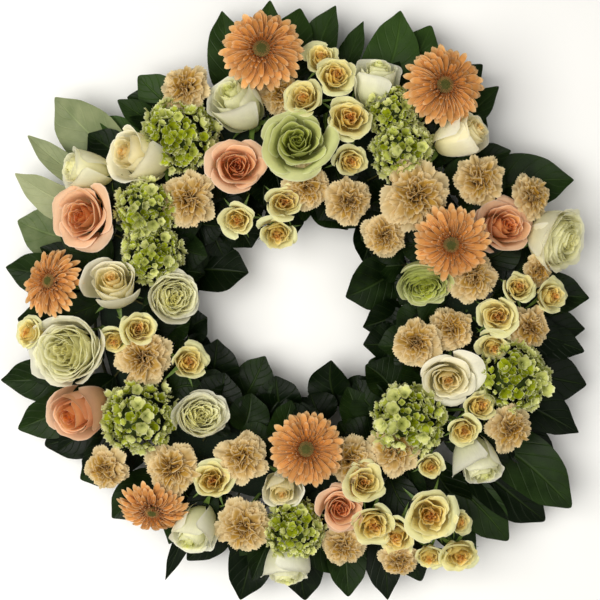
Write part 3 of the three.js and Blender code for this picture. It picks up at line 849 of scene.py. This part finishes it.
def add_leaf(growth, root, tip, width, tone, roll, rng):
    """A pointed oval blade on its petiole, folded along the midrib, arched and a little wavy."""
    length = np.linalg.norm(tip - root)
    direction = (tip - root) / length
    side, up = rolled_axes(direction, roll)
    along = np.sin(np.linspace(0, np.pi / 2, LEAF_ROWS))[:, None]
    across = np.linspace(-1, 1, LEAF_COLUMNS)[None, :]
    share = mix(PETIOLE / length, 1.0, along)

    # The outline, broadest below the middle and drawn out to a tip.
    outline = along ** 0.55 * (1 - along) ** rng.uniform(0.55, 0.75)
    outline = outline / outline.max() * mix(1.0, 0.6, smoothstep(0.78, 1.0, along))
    reach = across * LEAF_BREADTH * width / 2 * outline

    # How the blade rises out of its plane and bends aside.
    arch = rng.uniform(0.04, 0.14)
    fold = rng.uniform(0.10, 0.32)
    ripples = np.sin(along * rng.uniform(9, 14) + rng.uniform(0, 6.3))
    waves = 0.05 * width * ripples * across ** 2 * outline
    bend = rng.normal(0, 0.05) * length * np.sin(np.pi * along)
    rise = arch * length * np.sin(np.pi * share) + fold * np.abs(reach) + waves
    forward = direction * length * share[..., None]
    sideways = side * (reach + bend)[..., None]
    blade = root + forward + sideways + up * rise[..., None]
    growth.sheet(blade, tone=tone)
    add_petiole(growth, root, blade[0, LEAF_COLUMNS // 2] + direction * PETIOLE_OVERLAP)


def add_petiole(growth, root, end):
    """The thin stalk that joins a blade to its branch."""
    steps = np.linspace(0, 1, 5)[:, None]
    growth.tube(mix(root, end, steps), np.full(len(steps), PETIOLE_RADIUS), sides=5)


def add_branch(name, leaves):
    """One salal branch: a woody stem along the tray's side, with its leaves."""
    growth = Growth()
    rng = seeded(name)
    inner = "inner" in name
    reach = BRANCH_REACH["inner" if inner else "outer"]
    path = [on_ring(a, reach, BRANCH_HEIGHT) for a in np.linspace(leaves[0][0], leaves[-1][0], 24)]
    growth.tube(path, np.full(len(path), BRANCH_RADIUS), sides=7)
    for degrees, x, y, height, width in leaves:
        tip = np.array([RING_CENTRE.x + x / 1000, RING_CENTRE.y + y / 1000, height / 1000])
        # Leaves on the inner branches stay darker than the outer ones: painted shade, as they lie low
        # between the flowers.
        tone = rng.uniform(0.0, 0.15) if inner else leaf_tone(degrees, rng)
        roll = rng.uniform(-0.15, 0.5)
        add_leaf(growth, on_ring(degrees, reach, BRANCH_HEIGHT), tip, width / 1000, tone, roll, rng)
    growth.build(name + "_leaves", [LEAF_SKIN, BRANCH_BARK], "salal", name)


# Rings of short leaves that hide the foam: how many, the reach and height where they leave it,
# how far out their tips stand, and how high.
FILLERS = {
    "foam_top_outer": (36, 0.185, 0.048, 0.066, 0.062),
    "foam_top_middle": (32, 0.165, 0.050, -0.040, 0.064),
    "foam_top_inner": (28, 0.150, 0.048, -0.050, 0.056),
    "foam_side_outer": (40, 0.198, 0.038, 0.078, 0.040),
    "foam_side_inner": (24, 0.137, 0.036, -0.042, 0.032),
}


def add_fillers(name, count, reach, height, outward, tip_height):
    """One ring of short leaves, each a little off its even place."""
    growth = Growth()
    rng = seeded(name)
    for index in range(count):
        degrees = (index + rng.uniform(-0.3, 0.3)) * 360 / count
        root = on_ring(degrees, reach, height)
        swing = rng.uniform(-14, 14)
        tip_reach = reach + outward * rng.uniform(0.8, 1.15)
        tip = on_ring(degrees + swing, tip_reach, tip_height + rng.uniform(-0.006, 0.006))
        width = rng.uniform(0.030, 0.042)
        tone = rng.uniform(0.0, 0.2)
        roll = rng.uniform(-0.5, 0.5)
        add_leaf(growth, root, tip, width, tone, roll, rng)
    growth.build("salal_" + name, [LEAF_SKIN, BRANCH_BARK], "salal")


# ---- The flowers, one piece for each node ----

# Roses full of small petals, roses that are not fully open, and green ones that have faded to ivory.
GARDEN = ("rose_green_left", "rose_green_right", "rose_green_inner_left", "rose_green_inner_right",
          "rose_green_inner_bottom_left")
BUDS = ("rose_cream_top_left", "rose_cream_left", "rose_white_bottom", "rose_cream_top_right",
        "rose_cream_bottom", "rose_white_bottom_right", "rose_green_top_left", "rose_white_top_right",
        "rose_white_bottom_left", "rose_white_top_left", "rose_peach_bottom_left")
IVORY = ("rose_green_left", "rose_green_right", "rose_green_inner_left", "rose_green_inner_bottom_left",
         "rose_green_top_left")
BUD_LEAN = 0.6  # the share of its solid's upward facing that a bud keeps, so that it leans over further
SPREADING = {"snowball_left": 1.2}  # how many times as far as its solid a snowball's florets reach


def dress_rose(growth, node, heads, rng):
    head = heads[0]
    style = OPEN_ROSE
    if node in GARDEN:
        style = GARDEN_ROSE
    if node in BUDS:
        style = BUD_ROSE
        head = head._replace(facing=unit(head.facing * (1, 1, BUD_LEAN)))
    add_rose(growth, head, style, rng)
    add_stems(growth, [head], "rose")
    colour = node.split("_")[1]
    petals = PETALS["ivory" if node in IVORY else colour]
    growth.build(node + "_bloom", [petals, STEM_SKIN], "rose_" + colour, node)


def dress_spray(growth, node, heads, rng):
    for head in heads:
        add_rose(growth, head, SPRAY_STYLE, rng, body_rows=5, lip_rows=5, columns=11)
    add_stems(growth, heads, "spray")
    growth.build(node + "_bloom", [PETALS["yellow"], STEM_SKIN], "spray_rose", node)


def dress_carnation(growth, node, heads, rng):
    for head in heads:
        add_carnation(growth, head, rng)
    add_stems(growth, heads, "carnation")
    growth.build(node + "_bloom", [PETALS["buff"], STEM_SKIN], "carnation", node)


def dress_gerbera(growth, node, heads, rng):
    add_gerbera(growth, heads[0], rng)
    add_stems(growth, heads, "gerbera")
    growth.build(node + "_bloom", [PETALS["apricot"], STEM_SKIN, DISC_GREEN, DISC_RIM], "gerbera", node)


def dress_snowball(growth, node, heads, rng):
    for head in heads:
        fuller = head._replace(radius=head.radius * SPREADING.get(node, 1.0))
        add_snowball(growth, fuller, rng)
    add_stems(growth, heads, "snowball")
    growth.build(node + "_bloom", [PETALS["lime"], STEM_SKIN, SNOWBALL_CORE], "snowball", node)


# What dresses each kind of flower, by the first word of its node's name.
DRESSES = {
    "rose": dress_rose,
    "spray": dress_spray,
    "carnation": dress_carnation,
    "gerbera": dress_gerbera,
    "snowball": dress_snowball,
}


def dress_flowers():
    for node in sorted(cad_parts):
        dress = DRESSES.get(node.split("_")[0])
        if dress:
            dress(Growth(), node, heads_of(node), seeded(node))


def paint(node, material):
    """Gives a made part its material. Its shape stays the frame's own."""
    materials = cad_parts[node].data.materials
    materials.clear()
    materials.append(material)


# ---- Stage, light and camera ----

CAMERA_HEIGHT = 1.59
PICTURE_WIDTH = 0.60  # what the picture spans at the height of the flowers
FLOWER_HEIGHT = 0.09
PICTURE_CENTRE = (0.007, 0.008)  # from the ring's centre

PAPER_REACH = 4.0
PAPER_DROP = 0.0005  # how far the paper lies below the tray

# The two soft lights: where each stands, how broad it is and its power in watts.
LIGHTS = {
    "window": ((-0.95, -0.1, 2.0), 1.7, 53),
    "room": ((0.8, -0.6, 2.1), 2.4, 20),
}
LIGHT_COLOUR = (1.0, 0.98, 0.93)
LIT_POINT = Vector((0, 0, 0.05))  # what both lights face
SKY_COLOUR = (1.0, 0.99, 0.97, 1)
SKY_STRENGTH = 0.15


def add_camera():
    """A camera straight above the wreath, as in the photo."""
    camera = bpy.data.cameras.new("camera")
    camera.angle = 2 * math.atan(PICTURE_WIDTH / 2 / (CAMERA_HEIGHT - FLOWER_HEIGHT))
    camera.clip_end = 20
    place = bpy.data.objects.new("camera", camera)
    x, y = RING_CENTRE.x + PICTURE_CENTRE[0], RING_CENTRE.y + PICTURE_CENTRE[1]
    place.location = (x, y, CAMERA_HEIGHT)
    bpy.context.scene.collection.objects.link(place)
    bpy.context.scene.camera = place


def add_floor():
    """Plain pale paper under the wreath."""
    mesh = bpy.data.meshes.new("floor")
    corners = [(x * PAPER_REACH, y * PAPER_REACH, 0) for x, y in ((-1, -1), (1, -1), (1, 1), (-1, 1))]
    mesh.from_pydata(corners, [], [(0, 1, 2, 3)])
    shader = Shader("floor_paper", 0.9, specular=0.1)
    colour = shader.ramp(shader.noise(3.0), (0.3, "#F4F4F3"), (0.7, "#F8F8F7"))
    mesh.materials.append(shader.finish(colour))
    floor = bpy.data.objects.new("floor", mesh)
    floor.location.z = -PAPER_DROP
    bpy.context.scene.collection.objects.link(floor)


def add_light(name, place, size, power):
    light = bpy.data.lights.new(name, "AREA")
    light.size = size
    light.energy = power
    light.color = LIGHT_COLOUR
    lamp = bpy.data.objects.new(name, light)
    lamp.location = place
    lamp.rotation_euler = (LIT_POINT - Vector(place)).to_track_quat("-Z", "Y").to_euler()
    bpy.context.scene.collection.objects.link(lamp)


def add_sky():
    """Faint light from all round, and colours shown as they are."""
    world = bpy.data.worlds.new("world")
    world.use_nodes = True
    background = world.node_tree.nodes["Background"]
    background.inputs["Color"].default_value = SKY_COLOUR
    background.inputs["Strength"].default_value = SKY_STRENGTH
    bpy.context.scene.world = world
    bpy.context.scene.view_settings.view_transform = "Standard"
    bpy.context.scene.view_settings.look = "None"


# ---- Assembly ----

add_camera()
add_floor()
for name, plan in LIGHTS.items():
    add_light(name, *plan)
add_sky()

paint("tray", TRAY_PLASTIC)
paint("floral_foam", FOAM_SKIN)
dress_flowers()
for name, leaves in BRANCHES.items():
    add_branch(name, leaves)
for name, plan in FILLERS.items():
    add_fillers(name, *plan)

bpy.context.view_layer.update()
